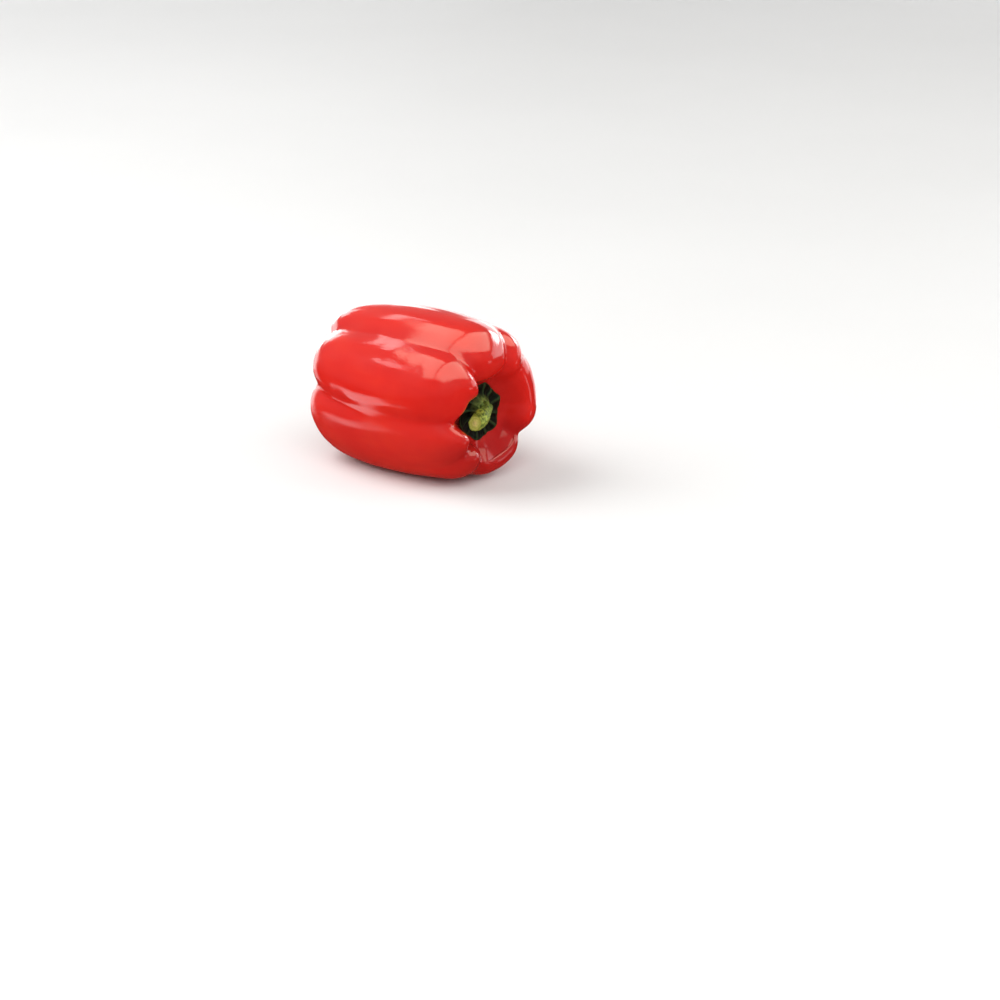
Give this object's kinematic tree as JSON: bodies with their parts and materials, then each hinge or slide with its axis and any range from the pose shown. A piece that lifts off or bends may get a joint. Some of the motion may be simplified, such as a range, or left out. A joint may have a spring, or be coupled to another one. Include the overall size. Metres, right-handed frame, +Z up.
{
  "type": "bell pepper",
  "caption": "Ripe red bell pepper lying on its side, with a lobed glossy body and a ribbed green calyx and short cut stem sunk in its shoulder.",
  "frame": {"origin": "on the surface it rests on, under the middle of the whole part's bounding box", "axes": "+X along the fruit's axis towards the stem end, +Z up as it rests on two lobes, -Y towards the side that the picture shows"},
  "size_m": [0.1114, 0.0826, 0.0821],
  "materials": {
    "skin": "smooth waxy red skin with a wet gloss",
    "sepal": "dark green, dull, ribbed",
    "stalk": "yellow-green, ridged, with a pale dry cut face",
    "scar": "dry, pale brown and corky"
  },
  "bodies": {
    "root": {"fruit": "skin", "calyx": "sepal", "stem": "stalk", "blossom_scar": "scar"}
  },
  "joints": []
}
